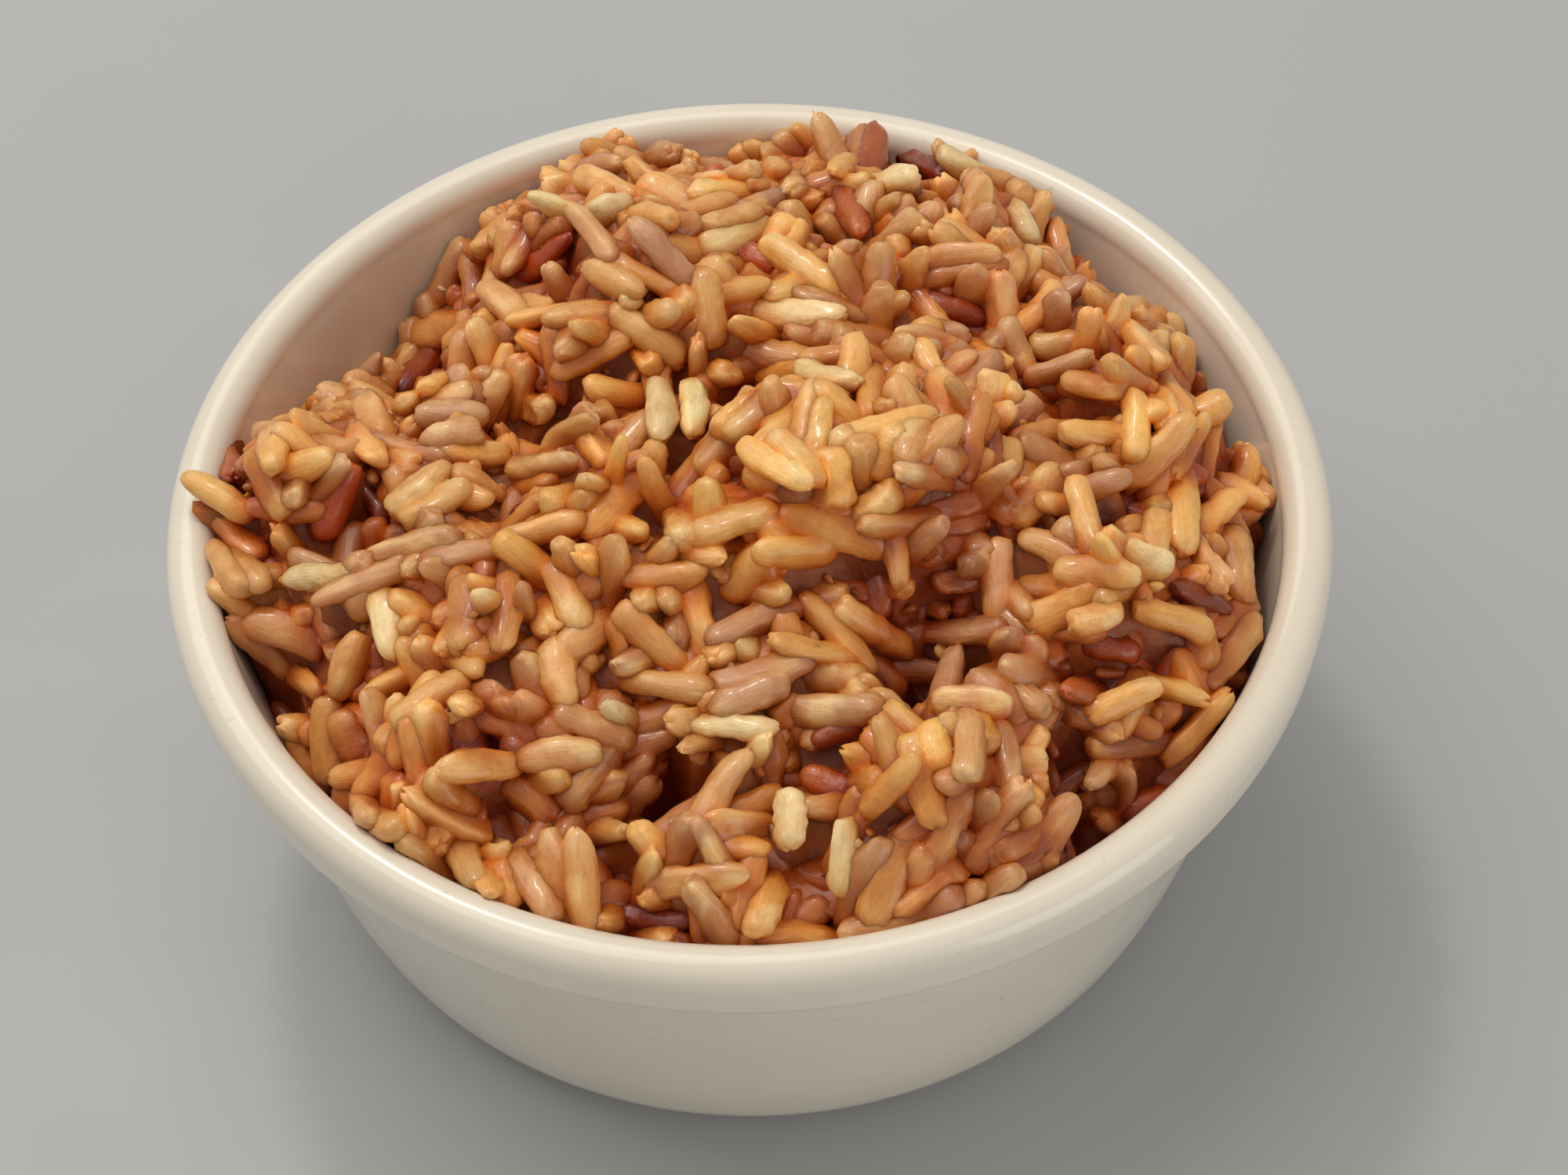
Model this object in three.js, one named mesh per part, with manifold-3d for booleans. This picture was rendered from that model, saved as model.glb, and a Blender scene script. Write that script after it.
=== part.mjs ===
// A round white glazed bowl heaped with cooked brown rice, as two solids: the bowl and the heap.
// Units are millimetres and +Z is up. The origin is the middle of the foot's flat underside.
// The viewer stands on the -Y side, so +X is to the right.
import * as THREE from "three";
import { mergeVertices } from "three/addons/utils/BufferGeometryUtils.js";
import Module from "manifold-3d";

const wasm = await Module();
wasm.setup();

// ---- Driving dimensions ----
const RIM_RADIUS = 52.5; // outside of the rim band
const BOWL_HEIGHT = 42.5;
const LIP_WIDTH = 4.5; // width of the rounded lip
const BAND_HEIGHT = 6.0; // thick band round the top
const BAND_EDGE_RADIUS = 1.2; // rounded lower edge of the band
const FOOT_RADIUS = 35.5; // outside of the flat foot
const FOOT_RING_WIDTH = 3.5;
const FOOT_RECESS = 1.4; // the underside inside the foot ring
const BOWL_SEGMENTS = 48; // flats round the bowl

const GRAIN_LENGTH = 8.4; // one cooked long grain
const GRAIN_WIDTH = 3.1;
const GRAIN_THICKNESS = 2.7;
const GRAIN_COUNT = 228; // grains that show on the heap
const EDGE_DROP = 3.6; // rice meets the wall this far below the rim
const DOME_RISE = 10.5; // middle of the plain dome above its edge
const WALL_GAP = 0.35; // clearance between rice and bowl

// Mounds (positive rise) and hollows (negative rise) on the plain dome.
const MOUNDS = [
  { name: "middle clump", x: 10, y: -5, spread: 10, rise: 7.5 },
  { name: "clump beside it", x: -6, y: -10, spread: 8, rise: 2.5 },
  { name: "back ridge left", x: -13, y: 27, spread: 11, rise: 4.5 },
  { name: "back ridge right", x: 17, y: 32, spread: 12, rise: 5.5 },
  { name: "left clump", x: -42, y: -1, spread: 8, rise: 6.0 },
  { name: "right clump", x: 36, y: 6, spread: 9, rise: 4.5 },
  { name: "right front clump", x: 33, y: -17, spread: 9, rise: 5.0 },
  { name: "front clump", x: 16, y: -35, spread: 8, rise: 4.5 },
  { name: "front left clump", x: -24, y: -24, spread: 8, rise: 3.0 },
  { name: "back left hollow", x: -34, y: 29, spread: 14, rise: -11.0 },
  { name: "back right hollow", x: 42, y: 30, spread: 11, rise: -7.5 },
  { name: "right wall hollow", x: 47, y: 11, spread: 8, rise: -5.0 },
  { name: "hollow left of the middle", x: -19, y: 7, spread: 6, rise: -4.0 },
  { name: "hollow behind the middle", x: -4, y: 8, spread: 6, rise: -4.0 },
  { name: "hollow before the middle", x: 12, y: -22, spread: 6, rise: -5.0 },
  { name: "hollow at the front", x: -11, y: -33, spread: 6, rise: -4.0 },
  { name: "left front edge", x: -38, y: -22, spread: 9, rise: -3.0 },
  { name: "right front edge", x: 35, y: -33, spread: 8, rise: -3.5 },
];

// ---- Bowl ----

const LIP_RADIUS = LIP_WIDTH / 2;
const LIP_CENTRE = new THREE.Vector2(
  RIM_RADIUS - LIP_RADIUS,
  BOWL_HEIGHT - LIP_RADIUS,
);

// Points of an arc about (x, y), from one angle to another, in degrees.
function arc(x, y, radius, from, to, steps) {
  return Array.from({ length: steps + 1 }, (_, i) => {
    const angle = THREE.MathUtils.degToRad(from + ((to - from) * i) / steps);
    return new THREE.Vector2(
      x + radius * Math.cos(angle),
      y + radius * Math.sin(angle),
    );
  });
}

// A smooth line through points of (radius, height).
function smoothLine(points, steps) {
  return new THREE.SplineCurve(
    points.map(([r, z]) => new THREE.Vector2(r, z)),
  ).getPoints(steps);
}

// The outer wall from the foot to just under the band: a round heel, then a nearly straight side.
const BODY_TOP_RADIUS = RIM_RADIUS * 0.938;
const BAND_BOTTOM = BOWL_HEIGHT - BAND_HEIGHT;
const outerWall = smoothLine(
  [
    [FOOT_RADIUS, 0],
    [FOOT_RADIUS + 5.6, 3.0],
    [FOOT_RADIUS + 8.1, 8.4],
    [RIM_RADIUS * 0.888, BOWL_HEIGHT * 0.52],
    [BODY_TOP_RADIUS, BAND_BOTTOM - 0.7],
  ],
  8,
);

// The inner wall from the lip down to the middle of the floor.
const FLOOR_HEIGHT = 4.4;
const innerWall = smoothLine(
  [
    [LIP_CENTRE.x - LIP_RADIUS, LIP_CENTRE.y],
    [RIM_RADIUS * 0.88, BOWL_HEIGHT * 0.78],
    [RIM_RADIUS * 0.827, BOWL_HEIGHT * 0.5],
    [RIM_RADIUS * 0.755, BOWL_HEIGHT * 0.24],
    [RIM_RADIUS * 0.66, BOWL_HEIGHT * 0.13],
    [RIM_RADIUS * 0.5, FLOOR_HEIGHT + 0.2],
  ],
  7,
);

function makeBowl() {
  const bandFoot = new THREE.Vector2(
    RIM_RADIUS - 0.2 - BAND_EDGE_RADIUS,
    BAND_BOTTOM + BAND_EDGE_RADIUS,
  );
  const profile = [
    new THREE.Vector2(0, FOOT_RECESS),
    new THREE.Vector2(FOOT_RADIUS - FOOT_RING_WIDTH - 1.5, FOOT_RECESS),
    new THREE.Vector2(FOOT_RADIUS - FOOT_RING_WIDTH, 0),
    ...outerWall,
    ...arc(bandFoot.x, bandFoot.y, BAND_EDGE_RADIUS, -90, 0, 2),
    ...arc(LIP_CENTRE.x, LIP_CENTRE.y, LIP_RADIUS, 0, 180, 5).slice(0, -1),
    ...innerWall,
    new THREE.Vector2(0, FLOOR_HEIGHT),
  ];
  return new THREE.LatheGeometry(profile, BOWL_SEGMENTS).rotateX(Math.PI / 2);
}

// Radius of the bowl's inside at a height, on the lip as well as below it.
function insideRadius(z) {
  if (z >= BOWL_HEIGHT) return LIP_CENTRE.x;
  if (z >= LIP_CENTRE.y) {
    return LIP_CENTRE.x - Math.sqrt(LIP_RADIUS ** 2 - (z - LIP_CENTRE.y) ** 2);
  }
  for (let i = 1; i < innerWall.length; i++) {
    const above = innerWall[i - 1];
    const below = innerWall[i];
    if (z >= below.y) {
      const share = (z - below.y) / (above.y - below.y);
      return THREE.MathUtils.lerp(below.x, above.x, share);
    }
  }
  return 0;
}

// ---- Form of the heap ----

// Height of the grains' middles over the foot.
function heapHeight(x, y) {
  const edge = RIM_RADIUS * 0.88;
  const share = Math.max(0, 1 - (x * x + y * y) / (edge * edge));
  let z = BOWL_HEIGHT - EDGE_DROP + DOME_RISE * share ** 0.85;
  for (const m of MOUNDS) {
    const distance = Math.hypot(x - m.x, y - m.y) / m.spread;
    z += m.rise * Math.exp(-distance * distance);
  }
  return z;
}

function heapNormal(x, y) {
  const step = 1.5;
  return new THREE.Vector3(
    heapHeight(x - step, y) - heapHeight(x + step, y),
    heapHeight(x, y - step) - heapHeight(x, y + step),
    2 * step,
  ).normalize();
}

// A closed geometry made into a solid.
function solidOf(geometry) {
  const bare = geometry.clone();
  bare.deleteAttribute("normal");
  bare.deleteAttribute("uv");
  const merged = mergeVertices(bare, 1e-4);
  return new wasm.Manifold(
    new wasm.Mesh({
      numProp: 3,
      vertProperties: new Float32Array(merged.attributes.position.array),
      triVerts: new Uint32Array(merged.index.array),
    }),
  );
}

function geometryOf(solid) {
  const mesh = solid.getMesh();
  return new THREE.BufferGeometry()
    .setAttribute(
      "position",
      new THREE.BufferAttribute(mesh.vertProperties, mesh.numProp),
    )
    .setIndex(new THREE.BufferAttribute(mesh.triVerts, 1));
}

// The core under the grains: rings of points over its top, down its side and in along the floor.
const CORE_DEPTH = 0.9; // top of the core below the grains' middles
const CORE_SEGMENTS = 24;
const TOP_RINGS = 6;
const SHOULDER = 1.6; // the last ring of the top stands this far in from the wall
const SIDE_SHARES = [0.6, 0.25, 0.1]; // rings down the side, as shares of its height
const CORE_FLOOR = FLOOR_HEIGHT + 0.2 + WALL_GAP;

function makeCore() {
  const rings = Array.from({ length: TOP_RINGS + SIDE_SHARES.length + 3 }, () => []);
  for (let s = 0; s < CORE_SEGMENTS; s++) {
    const angle = (2 * Math.PI * s) / CORE_SEGMENTS;
    const top = (r) => heapHeight(r * Math.cos(angle), r * Math.sin(angle)) - CORE_DEPTH;
    let edge = RIM_RADIUS * 0.88;
    for (let i = 0; i < 8; i++) {
      edge = insideRadius(Math.min(top(edge), LIP_CENTRE.y)) - WALL_GAP;
    }
    const edgeHeight = Math.min(top(edge), LIP_CENTRE.y);
    const profile = [];
    for (let k = 1; k <= TOP_RINGS; k++) {
      const r = (edge - 2 * SHOULDER) * (k / TOP_RINGS) ** 0.85;
      profile.push([r, top(r)]);
    }
    profile.push([edge - SHOULDER, top(edge - SHOULDER)], [edge, edgeHeight]);
    for (const share of SIDE_SHARES) {
      const z = THREE.MathUtils.lerp(CORE_FLOOR, edgeHeight, share);
      profile.push([insideRadius(z) - WALL_GAP, z]);
    }
    profile.push([RIM_RADIUS * 0.5 - WALL_GAP, CORE_FLOOR]);
    profile.forEach(([r, z], k) => {
      rings[k].push([r * Math.cos(angle), r * Math.sin(angle), z]);
    });
  }
  const points = [[0, 0, heapHeight(0, 0) - CORE_DEPTH], ...rings.flat(), [0, 0, CORE_FLOOR]];
  return closedRings(points, rings.length, CORE_SEGMENTS);
}

// A closed surface of rings of points between a first and a last point.
function closedRings(points, ringCount, sides) {
  const last = points.length - 1;
  const at = (ring, i) => 1 + ring * sides + (i % sides);
  const faces = [];
  for (let i = 0; i < sides; i++) {
    faces.push(0, at(0, i), at(0, i + 1));
    for (let ring = 1; ring < ringCount; ring++) {
      faces.push(at(ring - 1, i), at(ring, i), at(ring, i + 1));
      faces.push(at(ring - 1, i), at(ring, i + 1), at(ring - 1, i + 1));
    }
    faces.push(last, at(ringCount - 1, i + 1), at(ringCount - 1, i));
  }
  return new THREE.BufferGeometry()
    .setAttribute("position", new THREE.Float32BufferAttribute(points.flat(), 3))
    .setIndex(faces);
}

// ---- Grains ----

// Seeded random numbers from 0 to 1.
function seeded(seed) {
  let state = seed;
  return () => {
    state = (state + 0x6d2b79f5) | 0;
    let t = Math.imul(state ^ (state >>> 15), 1 | state);
    t = (t + Math.imul(t ^ (t >>> 7), 61 | t)) ^ t;
    return ((t ^ (t >>> 14)) >>> 0) / 4294967296;
  };
}

// One grain about the origin, along X: two rings of points between two pointed ends.
const GRAIN_SIDES = 5;
const GRAIN_RINGS = [0.52, -0.6]; // shares of half the length

function makeGrain(length, width, thickness) {
  const points = [[length / 2, 0, 0]];
  for (const share of GRAIN_RINGS) {
    const swell = 1.14 * (1 - Math.abs(share) ** 3);
    for (let i = 0; i < GRAIN_SIDES; i++) {
      const angle = (2 * Math.PI * i) / GRAIN_SIDES;
      points.push([
        (share * length) / 2,
        (Math.cos(angle) * width * swell) / 2,
        (Math.sin(angle) * thickness * swell) / 2,
      ]);
    }
  }
  points.push([-length / 2, 0, 0]);
  return closedRings(points, GRAIN_RINGS.length, GRAIN_SIDES);
}

// A grain lying along a direction with its flat side to the normal, its middle at a place.
function laidGrain(size, place, along, normal) {
  const x = along.clone().normalize();
  const y = new THREE.Vector3().crossVectors(normal, x).normalize();
  const z = new THREE.Vector3().crossVectors(x, y);
  const frame = new THREE.Matrix4().makeBasis(x, y, z).setPosition(place);
  return makeGrain(...size).applyMatrix4(frame);
}

// Whether every point of a grain is clear of the bowl.
function clearOfBowl(grain) {
  const p = grain.attributes.position;
  for (let i = 0; i < p.count; i++) {
    const radius = Math.hypot(p.getX(i), p.getY(i));
    if (p.getZ(i) < BOWL_HEIGHT + WALL_GAP) {
      if (radius > insideRadius(p.getZ(i)) - WALL_GAP - 0.15) return false;
    } else if (radius > RIM_RADIUS - 0.5) return false;
  }
  return true;
}

// Grains on an even spiral over the heap, turned and tilted at random. One that would cross the
// bowl is moved in until it is clear, and left out if it never is.
function makeGrains() {
  const random = seeded(11);
  const between = (low, high) => low + (high - low) * random();
  const golden = Math.PI * (3 - Math.sqrt(5));
  const reach = RIM_RADIUS * 0.885;
  const grains = [];
  for (let i = 0; i < GRAIN_COUNT; i++) {
    const angle = i * golden;
    const far = reach * Math.sqrt((i + 0.5) / GRAIN_COUNT) + between(-0.8, 0.8);
    const heading = between(0, 2 * Math.PI);
    const tilt = between(-0.4, 0.4);
    const lift = between(-0.6, 0.2);
    const size = [
      GRAIN_LENGTH * between(0.84, 1.1),
      GRAIN_WIDTH * between(0.9, 1.1),
      GRAIN_THICKNESS * between(0.9, 1.1),
    ];
    for (let inward = 0; inward < 5; inward += 0.5) {
      const x = (far - inward) * Math.cos(angle);
      const y = (far - inward) * Math.sin(angle);
      const normal = heapNormal(x, y);
      const along = new THREE.Vector3(Math.cos(heading), Math.sin(heading), 0)
        .projectOnPlane(normal)
        .normalize()
        .addScaledVector(normal, Math.tan(tilt));
      const place = new THREE.Vector3(x, y, heapHeight(x, y)).addScaledVector(normal, lift);
      const grain = laidGrain(size, place, along, normal);
      if (clearOfBowl(grain)) {
        grains.push(grain);
        break;
      }
    }
  }
  return grains;
}

// The one grain that hangs over the rim at the left, from the left clump.
function makeRimGrain() {
  const size = [GRAIN_LENGTH, GRAIN_WIDTH, GRAIN_THICKNESS];
  const place = new THREE.Vector3(-47.4, -0.8, BOWL_HEIGHT + 1.9);
  const along = new THREE.Vector3(-0.8, 0.55, 0.1);
  return laidGrain(size, place, along, new THREE.Vector3(0, 0, 1));
}

// Core and grains fused, without sealed hollows or loose scraps.
function makeHeap() {
  const pieces = [makeCore(), ...makeGrains(), makeRimGrain()].map(solidOf);
  const fused = wasm.Manifold.union(pieces);
  const bodies = fused.decompose().sort((a, b) => b.volume() - a.volume());
  return geometryOf(bodies[0]);
}

// ---- The part ----

const glaze = new THREE.MeshStandardMaterial({
  color: new THREE.Color(0.86, 0.83, 0.76),
  roughness: 0.22,
  metalness: 0,
});
const rice = new THREE.MeshStandardMaterial({
  color: new THREE.Color(0.7, 0.48, 0.29),
  roughness: 0.45,
  metalness: 0,
});

function named(name, geometry, material) {
  const mesh = new THREE.Mesh(geometry, material);
  mesh.name = name;
  return mesh;
}

const part = new THREE.Group();
part.add(named("bowl", makeBowl(), glaze));
part.add(named("rice", makeHeap(), rice));

export default part;
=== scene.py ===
"""A round cream glazed bowl heaped with cooked brown rice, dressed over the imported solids.

Lengths are millimetres until a mesh is made, then metres. +Z is up, and the viewer is on -Y.
"""

import math

import bpy
import numpy as np
from mathutils import Matrix, Vector


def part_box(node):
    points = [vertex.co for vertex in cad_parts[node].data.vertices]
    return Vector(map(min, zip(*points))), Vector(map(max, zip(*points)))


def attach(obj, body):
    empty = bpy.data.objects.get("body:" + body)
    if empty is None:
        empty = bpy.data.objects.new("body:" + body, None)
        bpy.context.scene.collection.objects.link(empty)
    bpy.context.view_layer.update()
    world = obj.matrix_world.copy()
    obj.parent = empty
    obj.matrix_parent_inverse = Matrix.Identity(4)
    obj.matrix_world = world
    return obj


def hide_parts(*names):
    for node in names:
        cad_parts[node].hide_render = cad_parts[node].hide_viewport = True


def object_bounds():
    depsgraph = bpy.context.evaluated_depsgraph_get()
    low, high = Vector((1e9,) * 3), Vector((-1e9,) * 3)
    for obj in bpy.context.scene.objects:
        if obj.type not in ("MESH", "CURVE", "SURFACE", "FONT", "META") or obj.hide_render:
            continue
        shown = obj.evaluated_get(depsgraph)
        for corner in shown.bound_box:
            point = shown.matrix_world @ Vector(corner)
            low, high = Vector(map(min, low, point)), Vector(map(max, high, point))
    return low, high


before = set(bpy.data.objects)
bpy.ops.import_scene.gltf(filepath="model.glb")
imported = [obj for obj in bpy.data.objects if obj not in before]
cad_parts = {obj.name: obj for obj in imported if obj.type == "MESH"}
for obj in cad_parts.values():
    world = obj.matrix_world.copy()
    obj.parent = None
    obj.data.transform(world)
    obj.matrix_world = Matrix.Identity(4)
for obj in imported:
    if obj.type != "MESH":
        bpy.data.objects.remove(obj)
cad_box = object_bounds()
scene = bpy.context.scene

MM = 0.001
SEED = 20

# ---- Sizes. The bowl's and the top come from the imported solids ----
BOWL_HIGH = [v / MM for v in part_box("bowl")[1]]
RIM_RADIUS = BOWL_HIGH[0]
BOWL_HEIGHT = BOWL_HIGH[2]
HIGHEST = cad_box[1][2] / MM
LIP_RADIUS = 2.25
LIP_X = RIM_RADIUS - LIP_RADIUS
LIP_Z = BOWL_HEIGHT - LIP_RADIUS
BAND_HEIGHT = 6.0
BAND_EDGE_RADIUS = 1.2
FOOT_RADIUS = 35.5
FOOT_RING_WIDTH = 3.5
FOOT_RECESS = 1.4
FLOOR_HEIGHT = 4.4
WALL_GAP = 0.35

GRAIN_WIDTH = 2.7
SHORTEST_GRAIN, LONGEST_GRAIN = 4.8, 9.8
CLEAR = 0.05  # how far the grains keep inside the bowl's wall and the top

HEAP_EDGE = RIM_RADIUS * 0.88
EDGE_DROP = 3.6
DOME_RISE = 10.5

# Mounds and hollows of the heap: x, y, spread, rise.
MOUNDS = (
    (10, -5, 10, 7.5),  # middle clump
    (-6, -10, 8, 2.5),  # clump beside it
    (-13, 27, 11, 4.5),  # back ridge left
    (17, 32, 12, 5.5),  # back ridge right
    (-42, -1, 8, 6.0),  # left clump
    (36, 6, 9, 4.5),  # right clump
    (33, -17, 9, 5.0),  # right front clump
    (16, -35, 8, 4.5),  # front clump
    (-24, -24, 8, 3.0),  # front left clump
    (-34, 29, 14, -11.0),  # back left hollow
    (42, 30, 11, -7.5),  # back right hollow
    (47, 11, 8, -5.0),  # right wall hollow
    (-19, 7, 6, -4.0),  # hollow left of the middle
    (-4, 8, 6, -4.0),  # hollow behind the middle
    (12, -22, 6, -5.0),  # hollow before the middle
    (-11, -33, 6, -4.0),  # hollow at the front
    (-38, -22, 9, -3.0),  # left front edge
    (35, -33, 8, -3.5),  # right front edge
)

# ---- Camera ----
PHOTO_WIDTH, PHOTO_HEIGHT = 2000, 1499
CAMERA_PLACE = Vector((0.0, -207.88, 279.17))
CAMERA_AIM = Vector((2.83, -11.6, 42.5))
CAMERA_ROLL = math.radians(-1.207)
SENSOR_WIDTH = 36.0
LENS = 80.3


def make_camera():
    """The photo's camera. Gives its axes as the columns of an array."""
    back = (CAMERA_PLACE - CAMERA_AIM).normalized()
    turn = back.to_track_quat("Z", "Y").to_matrix() @ Matrix.Rotation(CAMERA_ROLL, 3, "Z")
    camera = bpy.data.objects.new("camera", bpy.data.cameras.new("camera"))
    camera.data.lens = LENS
    camera.data.sensor_width = SENSOR_WIDTH
    camera.data.clip_start = 0.01
    camera.matrix_world = Matrix.Translation(CAMERA_PLACE * MM) @ turn.to_4x4()
    scene.collection.objects.link(camera)
    scene.camera = camera
    return np.array(turn)


camera_axes = make_camera()


# ---- Materials ----
WHITE = (1.0, 1.0, 1.0)


class Nodes:
    """A material's node tree with short ways to add and link nodes."""

    def __init__(self, name):
        self.material = bpy.data.materials.new(name)
        self.material.use_nodes = True
        self.tree = self.material.node_tree
        self.shader = self.tree.nodes["Principled BSDF"]

    def add(self, kind, **values):
        node = self.tree.nodes.new(kind)
        for key, value in values.items():
            if key in node.inputs:
                node.inputs[key].default_value = value
            else:
                setattr(node, key, value)
        return node

    def link(self, source, target):
        self.tree.links.new(source, target)

    def feed(self, socket, source):
        self.link(source, self.shader.inputs[socket])

    def set(self, **values):
        for key, value in values.items():
            self.shader.inputs[key.replace("_", " ")].default_value = value

    def noise(self, vector, scale, detail=3.0, roughness=0.5):
        node = self.add("ShaderNodeTexNoise", Scale=scale, Detail=detail, Roughness=roughness)
        self.link(vector, node.inputs["Vector"])
        return node.outputs["Fac"]

    def ramp(self, factor, *stops):
        """A colour ramp through (position, colour) stops."""
        node = self.add("ShaderNodeValToRGB")
        elements = node.color_ramp.elements
        while len(elements) < len(stops):
            elements.new(0.5)
        for element, (position, colour) in zip(elements, stops):
            element.position = position
            element.color = (*colour, 1.0)
        self.link(factor, node.inputs["Fac"])
        return node.outputs["Color"]

    def spread(self, factor, low, high):
        """A value from low to high, as a noise goes through its middle range."""
        node = self.add("ShaderNodeMapRange")
        for name, value in (("From Min", 0.3), ("From Max", 0.7), ("To Min", low), ("To Max", high)):
            node.inputs[name].default_value = value
        self.link(factor, node.inputs["Value"])
        return node.outputs["Result"]

    def times(self, first, second, share=1.0):
        """A share of the first colour multiplied by the second."""
        node = self.add("ShaderNodeMix", data_type="RGBA", blend_type="MULTIPLY")
        node.inputs[0].default_value = share
        self.link(first, node.inputs[6])
        self.link(second, node.inputs[7])
        return node.outputs[2]

    def bump(self, height, distance, below=None):
        """A normal from heights that reach a distance in millimetres."""
        node = self.add("ShaderNodeBump", Strength=1.0, Distance=distance * MM)
        self.link(height, node.inputs["Height"])
        if below is not None:
            self.link(below, node.inputs["Normal"])
        return node.outputs["Normal"]

    def place(self):
        return self.add("ShaderNodeTexCoord").outputs["Object"]

    def attribute(self, name, output):
        return self.add("ShaderNodeAttribute", attribute_name=name).outputs[output]


def glaze_material():
    """Cream glaze, faintly clouded and specked, with a soft ripple."""
    n = Nodes("glaze")
    place = n.place()
    colour = n.ramp(n.noise(place, 28.0, 4.0), (0.3, (0.78, 0.72, 0.61)), (0.7, (0.84, 0.79, 0.69)))
    specks = n.ramp(n.noise(place, 900.0, 2.0), (0.68, WHITE), (0.8, (0.6, 0.5, 0.4)))
    n.feed("Base Color", n.times(colour, specks, 0.35))
    n.feed("Roughness", n.spread(n.noise(place, 120.0), 0.14, 0.24))
    ripple = n.bump(n.noise(place, 60.0, 2.0), 0.25)
    n.feed("Normal", n.bump(n.noise(place, 700.0, 3.0), 0.01, below=ripple))
    n.set(Coat_Weight=0.35, Coat_Roughness=0.06)
    return n.material


def grain_material(name, gloss, depth):
    """Rice skin: the grain's tint, with its painted light and shade, streaked along the grain, over a
    translucent body.
    """
    n = Nodes(name)
    local = n.attribute("grain_place", "Vector")
    along = n.add("ShaderNodeMapping", Scale=(0.5, 2.2, 2.2))
    n.link(local, along.inputs["Vector"])
    streaks = n.noise(along.outputs["Vector"], 2.4, 4.0, 0.6)
    blotches = n.noise(local, 0.6, 4.0, 0.6)
    streaked = n.ramp(streaks, (0.34, (0.90, 0.83, 0.75)), (0.60, WHITE))
    blotched = n.ramp(blotches, (0.36, (0.90, 0.82, 0.74)), (0.58, WHITE))
    # The tint attribute carries painted shade and the patches' painted light and shade.
    colour = n.times(n.attribute("tint", "Color"), streaked)
    n.feed("Base Color", n.times(colour, blotched))
    n.feed("Roughness", n.spread(blotches, gloss, gloss + 0.2))
    fine = n.bump(n.noise(local, 2.2, 2.0), 0.09)
    n.feed("Normal", n.bump(streaks, 0.10, below=fine))
    n.shader.subsurface_method = "BURLEY"
    n.set(Subsurface_Weight=0.9, Subsurface_Scale=depth * MM, Subsurface_Radius=(1.0, 0.74, 0.54))
    n.set(Specular_IOR_Level=0.5, Coat_Weight=0.45, Coat_Roughness=0.13)
    return n.material


def core_material():
    """Moist sticky starch, by a tint that darkens with depth, as painted shade."""
    n = Nodes("rice_core")
    place = n.place()
    patches = n.noise(place, 220.0, 4.0)
    patched = n.ramp(patches, (0.35, (0.62, 0.50, 0.40)), (0.65, WHITE))
    n.feed("Base Color", n.times(n.attribute("tint", "Color"), patched))
    n.feed("Roughness", n.spread(patches, 0.40, 0.60))
    n.feed("Normal", n.bump(n.noise(place, 500.0, 3.0), 0.4))
    n.set(Subsurface_Weight=0.8, Subsurface_Scale=2.0 * MM, Subsurface_Radius=(1.0, 0.4, 0.2))
    return n.material


def floor_material():
    """Plain pale grey, hardly clouded."""
    n = Nodes("floor")
    place = n.place()
    cloud = n.noise(place, 3.0)
    n.feed("Base Color", n.ramp(cloud, (0.3, (0.42, 0.44, 0.47)), (0.7, (0.46, 0.48, 0.51))))
    n.feed("Roughness", n.spread(n.noise(place, 40.0), 0.6, 0.75))
    return n.material


# ---- Meshes ----
def make_piece(name, points, faces, material, slot, node, **attributes):
    """A smooth piece from points in mm and equal faces, with colours or vectors for its points."""
    points = np.asarray(points, np.float32).reshape(-1, 3) * MM
    faces = np.asarray(faces, np.int32)
    mesh = bpy.data.meshes.new(name)
    sides = faces.shape[1]
    mesh.vertices.add(len(points))
    mesh.vertices.foreach_set("co", points.ravel())
    mesh.loops.add(faces.size)
    mesh.loops.foreach_set("vertex_index", faces.ravel())
    mesh.polygons.add(len(faces))
    mesh.polygons.foreach_set("loop_start", np.arange(0, faces.size, sides, dtype=np.int32))
    mesh.polygons.foreach_set("use_smooth", np.ones(len(faces), bool))
    for key, values in attributes.items():
        kind, field = ("FLOAT_COLOR", "color") if values.shape[-1] == 4 else ("FLOAT_VECTOR", "vector")
        layer = mesh.attributes.new(key, kind, "POINT")
        layer.data.foreach_set(field, np.asarray(values, np.float32).ravel())
    mesh.update(calc_edges=True)
    mesh.validate()
    mesh.materials.append(material)
    piece = bpy.data.objects.new(name, mesh)
    scene.collection.objects.link(piece)
    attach(piece, "root")
    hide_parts(node)


def ring_faces(rings, sides):
    """Triangles of rings of points, each closed on itself, between a first and a last point."""
    i = np.arange(sides)
    after = (i + 1) % sides
    start = 1 + sides * np.arange(rings - 1)[:, None]
    a, b, c, d = start + i, start + after, start + sides + i, start + sides + after
    walls = np.concatenate([np.stack([a, c, d], -1), np.stack([a, d, b], -1)]).reshape(-1, 3)
    last = 1 + rings * sides
    head = np.stack([np.zeros(sides, int), 1 + i, 1 + after], -1)
    tail = np.stack([np.full(sides, last), last - sides + after, last - sides + i], -1)
    return np.concatenate([walls, head, tail])


def arc(x, z, radius, start, end, steps):
    """Points of an arc round (x, z), between angles in degrees."""
    angles = np.radians(np.linspace(start, end, steps + 1))
    return np.stack([x + radius * np.cos(angles), z + radius * np.sin(angles)], -1)


def smooth_line(points, steps):
    """Points along a Catmull-Rom curve through points of (radius, height)."""
    p = np.asarray(points, float)
    p = np.concatenate([p[:1], p, p[-1:]])
    where = np.linspace(0, len(points) - 1, steps + 1)
    k = np.minimum(where.astype(int), len(points) - 2)
    t = (where - k)[:, None]
    a, b, c, d = p[k], p[k + 1], p[k + 2], p[k + 3]
    v0, v1 = (c - a) / 2, (d - b) / 2
    return (2 * b - 2 * c + v0 + v1) * t**3 + (-3 * b + 3 * c - 2 * v0 - v1) * t**2 + v0 * t + b


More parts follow.
